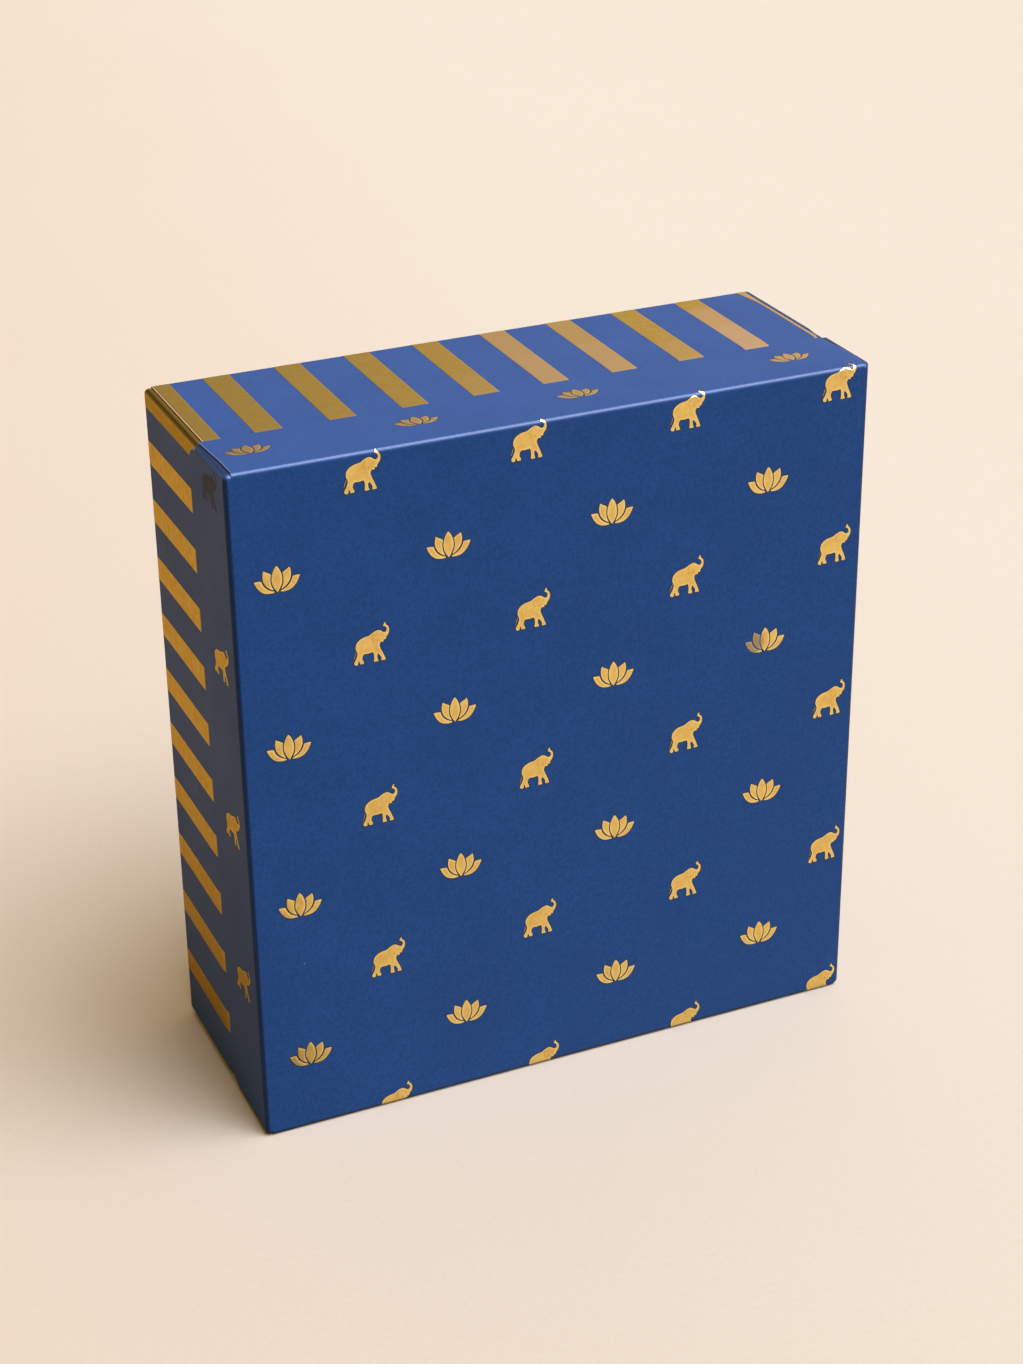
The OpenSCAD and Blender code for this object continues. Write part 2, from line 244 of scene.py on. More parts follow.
def joinPatches(patches, weld=1e7):
    # One skin of all the patches: its points, their normals, its faces and their material slots
    index, places, normals, faces, slots = {}, [], [], [], []
    for patch in patches:
        patch, slot = patch if isinstance(patch, tuple) else (patch, 0)
        ids = []
        for row in patch:
            ids.append([])
            for x, d, z, nx, nd, nz in row:
                key = (round(x * weld), round(d * weld), round(z * weld))
                if key not in index:
                    index[key] = len(places)
                    places.append((x, d, z))
                    normals.append((nx, nd, nz))
                ids[-1].append(index[key])
        for a, b in zip(ids, ids[1:]):
            for j in range(len(a) - 1):
                ring = [a[j], b[j], b[j + 1], a[j + 1]]
                ring = [v for k, v in enumerate(ring) if v != ring[k - 1]]
                if len(ring) > 2:
                    faces.append(ring)
                    slots.append(slot)
    return places, normals, faces, slots


def linked(name, data):
    thing = bpy.data.objects.new(name, data)
    bpy.context.scene.collection.objects.link(thing)
    return thing


def meshOf(bm, name, *materials):
    mesh = bpy.data.meshes.new(name)
    for material in materials:
        mesh.materials.append(material)
    bm.to_mesh(mesh)
    bm.free()
    return mesh


def camel(node):
    words = node.split("_")
    return words[0] + "".join(word.capitalize() for word in words[1:])


def addPiece(mesh, node, blank):
    piece = linked(camel(node), mesh)
    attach(piece, "lid" if blank is lidBlank else "tray")
    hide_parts(node)
    return piece


def boardPiece(node, blank, patches):
    # Outer and inner skins joined by the cut edges; the slots are print, uncoated inside and cut edge.
    places, normals, faces, slots = joinPatches(patches)
    count, board = len(places), blank["board"]
    outer = [toWorld(blank, *p) for p in places]
    inner = [toWorld(blank, *(p[i] - board * n[i] for i in range(3))) for p, n in zip(places, normals)]
    ways = [directed(blank, *n) for n in normals]
    for ring in faces:
        a, b, c = (outer[v] for v in ring[:3])
        if (b - a).cross(c - a).dot(ways[ring[0]]) < 0:
            ring.reverse()
    edges = {(ring[k - 1], v): True for ring in faces for k, v in enumerate(ring)}
    rims = [(b, a, a + count, b + count) for a, b in edges if (b, a) not in edges]
    skins = faces + [[v + count for v in reversed(ring)] for ring in faces]
    mesh = bpy.data.meshes.new(camel(node))
    mesh.from_pydata(outer + inner, [], skins + rims)
    for material in (printMaterial, insideMaterial, lidCutHighlightMaterial if blank is lidBlank else trayCutHighlightMaterial):
        mesh.materials.append(material)
    mesh.polygons.foreach_set("material_index", slots + [1] * len(faces) + [2] * len(rims))
    mesh.polygons.foreach_set("use_smooth", [True] * len(skins) + [False] * len(rims))
    ways += [-way for way in ways]
    mesh.normals_split_custom_set([ways[v] if polygon.index < len(skins) else polygon.normal
                                   for polygon in mesh.polygons for v in polygon.vertices])
    markFolds(mesh, node, normals)
    addPiece(mesh, node, blank)


foldMarks = {
    # how the burnish and the painted shade fade in across a fold, then the painted shade on the lower folds
    "fade": 0.5, "lowFade": 0.4, "lowShade": 1.45,
    # where the painted shade on the roll of a corner tab starts, and its run
    "tucked": (0.6, 0.3), "tuckedRight": (0.1, 0.4),
}


def markFolds(mesh, node, normals):
    # "fold" marks the burnished long folds; the other mark is painted shade, darkening the print on the upright
    # and lower folds and on the tucked corners
    fade, lowFade = foldMarks["fade"], foldMarks["lowFade"]
    start, run = foldMarks["tuckedRight" if "right" in node else "tucked"]
    fold = mesh.attributes.new("fold", "FLOAT", "POINT")
    deep = mesh.attributes.new("deep", "FLOAT", "POINT")
    for i, (nx, nd, nz) in enumerate(normals):
        fold.data[i].value = smooth(min(nz, -nd) / fade) if nd < 0 < nz else 0
        if "corner_tab" in node:
            deep.data[i].value = smooth((abs(nz) - start) / run)
        elif nd < 0:
            deep.data[i].value = max(smooth(min(abs(nx), abs(nd)) / fade) * (1 - abs(nz)),
                                     foldMarks["lowShade"] * smooth(-nz / lowFade))


# Node helpers: an input is given by its name or number, as another node's output or as a plain value
def plugIn(tree, node, inputs):
    for key, value in inputs.items():
        socket = node.inputs[key]
        if isinstance(value, bpy.types.NodeSocket):
            tree.links.new(value, socket)
        else:
            socket.default_value = (*value, 1.0) if socket.type == "RGBA" else value


def newNode(tree, kind, x, y, inputs={}, **settings):
    node = tree.nodes.new(kind)
    node.location = (x, y)
    for key, value in settings.items():
        setattr(node, key, value)
    plugIn(tree, node, inputs)
    return node


def newGroup(name, kind, inputs, outputs):
    group = bpy.data.node_groups.new(name, kind)
    for socketName, socketKind, *value in inputs:
        socket = group.interface.new_socket(socketName, in_out="INPUT", socket_type="NodeSocket" + socketKind)
        if value:
            socket.default_value = value[0]
    for socketName, socketKind in outputs:
        group.interface.new_socket(socketName, in_out="OUTPUT", socket_type="NodeSocket" + socketKind)
    given, out = newNode(group, "NodeGroupInput", -1400, 0), newNode(group, "NodeGroupOutput", 1400, 0)
    return group, given.outputs, out


def mathNode(tree, operation, x, y, *values):
    return newNode(tree, "ShaderNodeMath", x, y, dict(enumerate(values)), operation=operation).outputs[0]


def mapRange(tree, x, y, value, low, high, toLow=0.0, toHigh=1.0):
    return newNode(tree, "ShaderNodeMapRange", x, y, {
        "Value": value, "From Min": low, "From Max": high, "To Min": toLow, "To Max": toHigh}).outputs["Result"]


def mixColour(tree, x, y, factor, a, b):
    return newNode(tree, "ShaderNodeMix", x, y, {"Factor": factor, 6: a, 7: b}, data_type="RGBA").outputs[2]


def attribute(tree, x, y, name):
    return newNode(tree, "ShaderNodeAttribute", x, y, attribute_name=name).outputs["Fac"]


grainShape = {
    "toothDetail": 4, "mottleDetail": 5, "noiseRoughness": 0.6, "stretch": 0.5,
    "span": (0.2, 0.8),             # nearly all of the noise lies between these
}


def makePaperGrain():
    # Fine fibre tooth and slow mottling of folding board, from object coordinates in metres.
    group, given, out = newGroup("paperGrain", "ShaderNodeTree", [
        ("Vector", "Vector"), ("Fibre Scale", "Float", 1800.0), ("Mottle Scale", "Float", 60.0)],
        [("Tooth", "Float"), ("Mottle", "Float")])

    def noise(y, vector, scale, detail):
        return newNode(group, "ShaderNodeTexNoise", -400, y, {
            "Vector": vector, "Scale": scale, "Detail": grainShape[detail],
            "Roughness": grainShape["noiseRoughness"]}).outputs["Fac"]

    fibres = []
    for y, stretch in ((200, (1.0, 1.0, grainShape["stretch"])), (-50, (grainShape["stretch"], 1.0, 1.0))):
        drawn = newNode(group, "ShaderNodeVectorMath", -650, y, {0: given["Vector"], 1: stretch},
                        operation="MULTIPLY")
        fibres.append(noise(y + 50, drawn.outputs[0], given["Fibre Scale"], "toothDetail"))
    plugIn(group, out, {
        "Tooth": mathNode(group, "MULTIPLY", 300, 150, mathNode(group, "ADD", 0, 150, *fibres), 0.5),
        "Mottle": noise(-250, given["Vector"], given["Mottle Scale"], "mottleDetail")})
    return group


def makeWearSpecks(innerRadius=0.05, outerRadius=0.11):
    # Sparse specks where the surface is nicked: a few of the cells hold a small round one
    group, given, out = newGroup("wearSpecks", "ShaderNodeTree", [
        ("Vector", "Vector"), ("Scale", "Float", 160.0), ("Amount", "Float", 0.06)], [("Mask", "Float")])
    cells = newNode(group, "ShaderNodeTexVoronoi", -600, 200, {
        "Vector": given["Vector"], "Scale": given["Scale"]}, feature="F1")
    picked = newNode(group, "ShaderNodeSeparateColor", -400, 350, {"Color": cells.outputs["Color"]})
    rare = mathNode(group, "LESS_THAN", -200, 350, picked.outputs["Red"], given["Amount"])
    small = mapRange(group, -200, 100, cells.outputs["Distance"], innerRadius, outerRadius, 1.0, 0.0)
    plugIn(group, out, {"Mask": mathNode(group, "MULTIPLY", 100, 200, rare, small)})
    return group


paperGrain = makePaperGrain()
wearSpecks = makeWearSpecks()


def grainNode(tree, y, place, fibres, mottling):
    return newNode(tree, "ShaderNodeGroup", -900, y, {
        "Vector": place, "Fibre Scale": fibres, "Mottle Scale": mottling}, node_tree=paperGrain).outputs


def specksNode(tree, y, place, scale, amount):
    return newNode(tree, "ShaderNodeGroup", -900, y, {
        "Vector": place, "Scale": scale, "Amount": amount}, node_tree=wearSpecks).outputs["Mask"]


def uneven(tree, x, mottle, value, less, more):
    # A value that wanders with the mottling, up to this much less and more
    return mapRange(tree, x, -50, mottle, *grainShape["span"], value - less, value + more)


def startMaterial(name):
    material = bpy.data.materials.new(name)
    material.use_nodes = True
    tree = material.node_tree
    shader = tree.nodes["Principled BSDF"]
    shader.location = (500, 0)
    tree.nodes["Material Output"].location = (800, 0)
    return material, tree, shader, newNode(tree, "ShaderNodeTexCoord", -1100, 0).outputs["Object"]


def bump(tree, height, distance):
    return newNode(tree, "ShaderNodeBump", 200, -300, {
        "Height": height, "Distance": distance, "Strength": 1.0}).outputs["Normal"]


def srgb(r, g, b):
    return tuple(((c / 255 + 0.055) / 1.055) ** 2.4 if c > 10 else c / 255 / 12.92 for c in (r, g, b))


printInk = {
    "blue": srgb(36, 92, 174), "mottledBlue": srgb(32, 85, 164), "fibreBlue": srgb(26, 69, 142),
    "fibres": 1500.0, "fibreSpan": (0.4, 0.6), "fibreStrength": 0.65, "toothDepth": 0.014 * mm,
    "mottling": 45.0, "mottleSpan": (0.3, 0.7),
    "nick": srgb(196, 200, 214), "nickScale": 140.0, "nickAmount": 0.005,
    "roughness": 0.5, "rougher": (0.05, 0.06), "gloss": 0.13,
    "softSheen": 0.18, "sheenRoughness": 0.5, "sheenTint": (0.92, 0.97, 1.0),   # the matt film on the print
    # the burnished folds' gloss, then the navy and strength of the painted shade on the folds
    "foldGloss": 0.46, "foldGlossRoughness": 0.36, "foldBlue": srgb(8, 22, 48), "foldShade": 0.68,
    "bounce": srgb(92, 82, 66),     # what the print throws back on the floor
}


def makePrint(name):
    p, (material, tree, shader, place) = printInk, startMaterial(name)
    grain = grainNode(tree, 100, place, p["fibres"], p["mottling"])
    nicks = specksNode(tree, -250, place, p["nickScale"], p["nickAmount"])
    mottle = mapRange(tree, -500, 250, grain["Mottle"], *p["mottleSpan"])
    tooth = mapRange(tree, -500, 0, grain["Tooth"], *p["fibreSpan"], 0.0, p["fibreStrength"])
    # painted shade: on the marked folds and tucked corners the print is mixed toward a dark navy
    shade = mathNode(tree, "MULTIPLY", 150, 500, attribute(tree, 0, 500, "deep"), p["foldShade"])
    diffuse = newNode(tree, "ShaderNodeLightPath", 350, 550).outputs["Is Diffuse Ray"]
    ink = p["blue"]
    for i, (mask, tint) in enumerate(((mottle, "mottledBlue"), (tooth, "fibreBlue"), (nicks, "nick"),
                                      (shade, "foldBlue"), (diffuse, "bounce"))):
        ink = mixColour(tree, -300 + 150 * i, 250, mask, ink, p[tint])
    plugIn(tree, shader, {
        "Base Color": ink, "Roughness": uneven(tree, 200, grain["Mottle"], p["roughness"], *p["rougher"]),
        "Specular IOR Level": p["gloss"], "Coat Roughness": p["foldGlossRoughness"],
        "Coat Weight": mathNode(tree, "MULTIPLY", 200, -450, attribute(tree, 0, -450, "fold"), p["foldGloss"]),
        "Sheen Weight": p["softSheen"], "Sheen Roughness": p["sheenRoughness"], "Sheen Tint": p["sheenTint"],
        "Normal": bump(tree, grain["Tooth"], p["toothDepth"])})
    return material


bareBoard = {
    "mottling": 120.0, "fibreSpan": (0.35, 0.65), "toothDepth": 0.03 * mm, "rougher": (0.06, 0.06),
    # pale and dark colour, scale of the fibres, roughness
    "uncoatedInside": (srgb(226, 219, 203), srgb(208, 199, 180), 900.0, 0.85),
    # the tray's cut edge: the board's cream core, painted paler as a highlight on an edge that gets little
    # light
    "cutEdgeTray": (srgb(246, 218, 172), srgb(206, 168, 122), 4000.0, 0.85),
    # the lid's cut edge: a pale lilac painted highlight, standing for light on a blue-printed rounded edge
    "cutEdgeLid": (srgb(110, 128, 178), srgb(70, 88, 140), 4000.0, 0.85),
    "driedGlue": (srgb(222, 214, 190), srgb(196, 184, 150), 600.0, 0.45),
}


def makeBareBoard(name):
    pale, dark, fibres, rough = bareBoard[name]
    material, tree, shader, place = startMaterial(name)
    grain = grainNode(tree, 100, place, fibres, bareBoard["mottling"])
    tooth = mapRange(tree, -500, 0, grain["Tooth"], *bareBoard["fibreSpan"])
    plugIn(tree, shader, {
        "Base Color": mixColour(tree, -200, 200, tooth, pale, dark),
        "Roughness": uneven(tree, 200, grain["Mottle"], rough, *bareBoard["rougher"]),
        "Normal": bump(tree, grain["Tooth"], bareBoard["toothDepth"])})
    return material


foilFinish = {
    # gold and its mottle; the third colour is a painted highlight along the foil's edges
    "gold": srgb(237, 203, 118), "deepGold": srgb(224, 182, 98), "rim": srgb(248, 222, 150),
    # the pale pink gold is a painted reflection on the foil
    "speck": srgb(124, 82, 36), "worn": srgb(76, 80, 98), "haze": srgb(248, 210, 164),
    "glint": (0.9, 0.68, 0.3), "roughness": 0.32, "rougher": (0.06, 0.08),
    "wornRoughness": 0.35, "wornMetal": 0.15, "wornSpan": (0.4, 1.0),
    "fibres": 2200.0, "toothDepth": 0.006 * mm, "mottling": 330.0, "mottleSpan": (0.32, 0.68),
    "speckScale": 900.0, "speckAmount": 0.1, "speckStrength": 0.5,
    # the pressed line round the foil is painted shade: a near-black line standing for the shadow in the groove
    # the stamp presses
    "pressedLine": srgb(10, 14, 30), "pressedBrown": srgb(30, 24, 24),      # the dark line round the foil
    "pressedFibres": 2500.0, "pressedMottling": 500.0, "pressedSpan": (0.35, 0.65),
    "pressedDepth": 0.01 * mm, "pressedRoughness": (0.55, 0.75),
}


def makeFoil(name):
    f, (material, tree, shader, place) = foilFinish, startMaterial(name)
    grain = grainNode(tree, 100, place, f["fibres"], f["mottling"])
    specks = specksNode(tree, -250, place, f["speckScale"], f["speckAmount"])
    # the rim mark paints a highlight, a paler gold along the foil's edges
    rim, mark, worn, haze = (attribute(tree, -900, -500 - 200 * i, key)
                             for i, key in enumerate(("rim", "mark", "worn", "haze")))
    # the brown marks specks and pressed marks, and through the mark layer also paints shade on the corner foil
    masks = ((mapRange(tree, -600, 250, grain["Mottle"], *f["mottleSpan"]), "deepGold"),
             (mathNode(tree, "MULTIPLY", -400, -200, specks, f["speckStrength"]), "speck"),
             (rim, "rim"), (haze, "haze"), (mark, "speck"), (worn, "worn"))
    colour = f["gold"]
    for i, (mask, tint) in enumerate(masks):
        colour = mixColour(tree, -300 + 120 * i, 250, mask, colour, f[tint])
    rough = uneven(tree, 0, grain["Mottle"], f["roughness"], *f["rougher"])
    worse = mathNode(tree, "MULTIPLY", 0, -250, worn, f["wornRoughness"])
    plugIn(tree, shader, {
        "Base Color": colour, "Roughness": mathNode(tree, "ADD", 250, -50, rough, worse),
        "Metallic": mapRange(tree, 200, 50, worn, *f["wornSpan"], 1.0, f["wornMetal"]),
        "Specular Tint": f["glint"], "Normal": bump(tree, grain["Tooth"], f["toothDepth"])})
    return material


# The pressed line's material: painted shade of the stamped groove, fading into the print where a figure is worn
def makePressedShade(name):
    f, (material, tree, shader, place) = foilFinish, startMaterial(name)
    grain = grainNode(tree, 100, place, f["pressedFibres"], f["pressedMottling"])
    mottle = mapRange(tree, -500, 0, grain["Mottle"], *f["pressedSpan"])
    colour = mixColour(tree, -200, 200, mottle, f["pressedLine"], f["pressedBrown"])
    plugIn(tree, shader, {
        "Base Color": mixColour(tree, 100, 200, attribute(tree, -200, 450, "worn"), colour,
                                printInk["mottledBlue"]),
        "Roughness": mapRange(tree, 200, -50, grain["Tooth"], *grainShape["span"], *f["pressedRoughness"]),
        "Normal": bump(tree, grain["Tooth"], f["pressedDepth"])})
    return material


printMaterial = makePrint("foldingBoardPrint")
insideMaterial, trayCutHighlightMaterial, lidCutHighlightMaterial, glueMaterial = (
    makeBareBoard(name) for name in ("uncoatedInside", "cutEdgeTray", "cutEdgeLid", "driedGlue"))
foilMaterial = makeFoil("stampedGoldFoil")
pressedShadeMaterial = makePressedShade("pressedFoilEdge")
print("materials ready")


def foldBlank(blank, panelNode):
    side, tab = sideWallPatch(blank), cornerTabPatches(blank)
    patches = {
        panelNode: panelPatches(blank), "top_wall": topWallPatches(blank),
        "bottom_wall": topWallPatches(blank, low=True),
        "left_wall": [side], "right_wall": [flipped(blank, side, right=True)],
    }
    for right, low in corners:
        node = "corner_tab_" + ("bottom" if low else "top") + ("_right" if right else "_left")
        patches[node] = [flipped(blank, patch, right, low) for patch in tab]
    for node, made in patches.items():
        boardPiece(blank["prefix"] + node, blank, made)


foldBlank(lidBlank, "face_panel")
foldBlank(trayBlank, "back_panel")
print("boards folded")


# The print lies flat on the unfolded blank: u across the panel, v up it, lift off the board.
def foldPrint(blank, u, v, lift):
    w, h, fold = blank["width"], blank["height"], blank["fold"]
    side, top = w / 2 - fold, h - fold
    x, d, z, nx, nd, nz = u, 0, v, 0, -1, 0
    if v > top or v < fold:
        away, d, outward, nd = around(fold, v - top if v > top else fold - v)
        z, nz = (h - away, outward) if v > top else (away, -outward)
    elif abs(u) > side:
        away, d, outward, nd = around(fold, abs(u) - side)
        x, nx = math.copysign(w / 2 - away, u), math.copysign(outward, u)
    return toWorld(blank, x + nx * lift, d + nd * lift, z + nz * lift)


def wallPrint(blank, depth):
    # How far from the panel's flat edge a point of a wall lies on the unfolded blank
    return blank["fold"] * quarter + depth - blank["fold"]


foilFigures = {
    "scale": 1.0 * mm,              # the outlines below are in millimetres
    "elephantInset": 0.05, "lotusInset": -0.02,     # how far the foil stops short of the drawn outline
    "pressed": 0.27,                # width of the pressed line round the foil
    "bevel": 0.06, "lift": 0.03, "sunk": 0.006, "edgeLift": 0.4,
    "cell": 0.7, "cellShift": 0.013,    # the cells that let a figure bend round a crease
    "rimWidth": 0.34, "spotFade": 0.3,
    "markLift": 0.004, "dotPoints": 10, "dotHeight": 1.6, "dotStrength": 0.45,
    "lineWidth": 0.09, "lineStrength": 0.4,
}
# Traced from the front view of one elephant, clockwise from the trunk's tip
elephantOutline = [
    (4.15, 6.1), (4.5, 5.95), (4.4, 5.55), (4.65, 5.2), (5.05, 4.85), (5.35, 4.35), (5.5, 3.75), (5.47, 3.1),
    (5.32, 2.5), (5.05, 2.0), (4.7, 1.6), (4.5, 1.2), (4.38, 0.8), (4.15, 0.5), (3.9, 0.62), (3.6, 0.5),
    (3.68, 0.15), (3.5, -0.15), (3.22, 0.02), (2.9, 0.08), (2.65, -0.2), (2.45, -0.6), (2.4, -1.1),
    (2.62, -1.8), (2.92, -2.6), (3.28, -3.4), (3.6, -4.2), (3.85, -4.9), (4.08, -5.5), (4.0, -5.85),
    (2.95, -5.9), (2.68, -5.7), (2.75, -5.0), (2.5, -4.4), (2.15, -3.9), (1.75, -3.45), (1.6, -3.95),
    (1.55, -4.6), (1.7, -5.2), (1.88, -5.65), (1.75, -5.92), (0.62, -5.95), (0.42, -5.7), (0.47, -5.1),
    (0.52, -4.4), (0.48, -3.7), (0.38, -3.1), (0.2, -2.72), (-0.5, -2.82), (-1.2, -2.92), (-1.9, -2.88),
    (-2.4, -2.85), (-2.75, -3.2), (-2.95, -3.7), (-3.02, -4.2), (-2.88, -4.7), (-2.65, -5.1), (-2.55, -5.5),
    (-2.68, -5.85), (-3.65, -5.88), (-3.9, -5.6), (-3.95, -5.15), (-4.15, -4.75), (-4.32, -5.2),
    (-4.35, -5.65), (-4.6, -5.95), (-5.2, -5.92), (-5.6, -5.6), (-5.62, -5.1), (-5.38, -4.6), (-5.08, -4.1),
    (-4.8, -3.5), (-4.6, -2.9), (-4.5, -2.3), (-4.58, -1.8), (-4.78, -1.4), (-4.95, -0.9), (-5.0, -0.3),
    (-4.9, 0.3), (-4.68, 0.9), (-4.3, 1.4), (-3.75, 1.88), (-3.05, 2.25), (-2.3, 2.5), (-1.5, 2.65),
    (-0.8, 2.78), (-0.35, 2.98), (0.0, 3.22), (0.5, 3.5), (1.1, 3.78), (1.75, 3.98), (2.3, 3.94), (2.8, 3.72),
    (3.2, 3.42), (3.6, 3.12), (3.95, 2.97), (4.3, 3.05), (4.55, 3.3), (4.68, 3.7), (4.62, 4.12), (4.4, 4.5),
    (4.05, 4.75), (3.72, 4.88), (3.62, 5.1), (3.78, 5.42), (3.98, 5.82),
]
elephantTail = [(-4.82, -1.75), (-4.98, -2.3), (-5.2, -2.95), (-5.45, -3.6), (-5.62, -4.0), (-5.72, -3.9),
                (-5.55, -3.4), (-5.35, -2.8), (-5.15, -2.2), (-5.0, -1.65)]
elephantMarks = {
    "dots": [(1.85, 0.9, 0.2), (3.3, 2.3, 0.13)],
    "lines": [[(0.9, 3.0), (0.35, 2.3), (0.2, 1.5), (0.5, 0.8), (1.1, 0.6)]],
}
lotusPetals = [
    [(0.0, 4.25), (0.38, 3.85), (0.8, 3.15), (1.15, 2.35), (1.42, 1.4), (1.55, 0.4), (1.5, -0.6), (1.28, -1.5),
     (0.9, -2.35), (0.45, -3.1), (0.0, -3.75), (-0.45, -3.1), (-0.9, -2.35), (-1.28, -1.5), (-1.5, -0.6),
     (-1.55, 0.4), (-1.42, 1.4), (-1.15, 2.35), (-0.8, 3.15), (-0.38, 3.85)],
    [(3.8, 3.3), (4.05, 2.5), (4.15, 1.5), (4.08, 0.5), (3.8, -0.4), (3.3, -1.3), (2.6, -2.05), (1.85, -2.6),
     (1.15, -2.95), (1.4, -2.35), (1.72, -1.55), (1.9, -0.6), (1.95, 0.4), (1.85, 1.3), (1.7, 1.95),
     (2.2, 2.3), (2.8, 2.65), (3.35, 2.95)],
    [(6.75, 0.42), (6.45, -0.35), (5.85, -1.55), (4.95, -2.7), (3.95, -3.4), (2.9, -3.72), (1.9, -3.82),
     (1.0, -3.7), (0.95, -3.42), (1.8, -3.1), (2.7, -2.6), (3.5, -1.9), (4.05, -1.15), (4.4, -0.4),
     (4.62, 0.32), (5.3, 0.42), (6.0, 0.45)],
]
lotusMarks = {
    "dots": [(0.25, 1.1, 0.13), (-2.9, 0.1, 0.12), (4.6, -1.4, 0.14)],
    "lines": [],
}


def smoothOutline(points, steps=3, sharp=math.radians(48)):
    # A curve through the points that keeps the sharp corners
    at, count, out = [Vector(p) for p in points], len(points), []

    def corner(i):
        a, b = at[i] - at[i - 1], at[(i + 1) % count] - at[i]
        return a.angle(b) > sharp

    for i in range(count):
        p0, p1, p2, p3 = (at[(i + k) % count] for k in (-1, 0, 1, 2))
        if corner(i):
            p0 = p1 * 2 - p2
        if corner((i + 1) % count):
            p3 = p2 * 2 - p1
        for t in (k / steps for k in range(steps)):
            out.append(0.5 * (2 * p1 + (p2 - p0) * t + (2 * p0 - 5 * p1 + 4 * p2 - p3) * t * t
                              + (3 * p1 - p0 - 3 * p2 + p3) * t ** 3))
    return out


def area(points):
    return sum(points[i - 1].x * p.y - p.x * points[i - 1].y for i, p in enumerate(points)) / 2


def offsetOutline(points, distance, leastSlope=0.55):
    # Moves each point of a counterclockwise outline outwards, or inwards where the distance is negative
    out, count = [], len(points)
    for i, p in enumerate(points):
        a, b = (p - points[i - 1]).normalized(), (points[(i + 1) % count] - p).normalized()
        way = Vector((a.y + b.y, -a.x - b.x))
        way = way.normalized() if way.length > 1e-6 else Vector((a.y, -a.x))
        out.append(p + way * (distance / max(leastSlope, way.dot(Vector((a.y, -a.x))))))
    return out


def distanceTo(points, p):
    best = 1e9
    for i, b in enumerate(points):
        a = points[i - 1]
        run = b - a
        t = min(1, max(0, (p - a).dot(run) / max(run.length_squared, 1e-12)))
        best = min(best, (a + run * t - p).length)
    return best


def addMarks(bm, marks, layer):
    # Small dots and lines pressed into the foil
    f = foilFigures

    def marked(points, strength):
        made = [bm.verts.new((x, y, f["lift"] + f["markLift"])) for x, y in points]
        for v in made:
            v[layer] = strength
        return made

    for x, y, radius in marks["dots"]:
        turns = [math.tau * k / f["dotPoints"] for k in range(f["dotPoints"])]
        bm.faces.new(marked([(x + radius * math.cos(a), y + radius * f["dotHeight"] * math.sin(a))
                             for a in turns], f["dotStrength"]))
    for line in marks["lines"]:
        path = [Vector(p) for p in line]
        for i in range(len(path) - 1):
            path.insert(2 * i + 1, (path[2 * i] + path[2 * i + 1]) / 2)
        sides = []
        for i, p in enumerate(path):
            run = (path[min(i + 1, len(path) - 1)] - path[max(i - 1, 0)]).normalized() * f["lineWidth"]
            sides.append(marked([(p.x - run.y, p.y + run.x), (p.x + run.y, p.y - run.x)], f["lineStrength"]))
        for a, b in zip(sides, sides[1:]):
            bm.faces.new((a[0], a[1], b[1], b[0]))


def figureShape(name, outlines, marks, inset):
    # One foil figure lying flat, in metres, with its pressed line; its faces are small enough to bend.
    f, bm, curves = foilFigures, bmesh.new(), []
    rimHighlightLayer, markAndShadeLayer = bm.verts.layers.float.new("rim"), bm.verts.layers.float.new("mark")
    pressedLayer = bm.faces.layers.float.new("pressed")

    def ringOf(points, lift):
        return [bm.verts.new((p.x, p.y, lift)) for p in points]

    def band(a, b, pressed):
        for i in range(len(a)):
            bm.faces.new((a[i - 1], a[i], b[i], b[i - 1]))[pressedLayer] = pressed

    for points in outlines:
        edge = smoothOutline(points)
        if area(edge) < 0:
            edge.reverse()
        edge = offsetOutline(edge, -inset)
        curves.append(edge)
        outer = ringOf(offsetOutline(edge, f["pressed"]), f["sunk"] * f["edgeLift"])
        foot = ringOf(edge, f["sunk"])
        rise = ringOf(offsetOutline(edge, -f["bevel"]), f["lift"])
        band(outer, foot, 1.0)
        band(foot, rise, 0.0)
        bm.faces.new(rise)
    spans = [(min(v.co[axis] for v in bm.verts), max(v.co[axis] for v in bm.verts)) for axis in (0, 1)]
    for axis, span in enumerate(spans):
        for place in spaced(*span, f["cell"])[1:-1]:
            where, normal = Vector(), Vector()
            where[axis], normal[axis] = place + f["cellShift"], 1
            bmesh.ops.bisect_plane(bm, geom=bm.verts[:] + bm.edges[:] + bm.faces[:], plane_co=where,
                                   plane_no=normal, dist=1e-5)
    bmesh.ops.triangulate(bm, faces=[face for face in bm.faces if len(face.verts) > 4],
                          ngon_method="EAR_CLIP")
    # painted highlight: the foil is paler near its outline, where the bevel would catch the light
    for v in bm.verts:
        if v.co.z > f["sunk"] * 0.9:        # not the pressed line's outer edge
            near = min(distanceTo(curve, v.co.xy) for curve in curves)
            v[rimHighlightLayer] = max(0, 1 - near / f["rimWidth"])
    addMarks(bm, marks, markAndShadeLayer)
    for face in bm.faces:
        if face.normal.z < 0:
            face.normal_flip()
        face.smooth = True
    bmesh.ops.scale(bm, vec=(f["scale"], f["scale"], mm), verts=bm.verts)
    return bpy.data.objects.new(name, meshOf(bm, name, foilMaterial))


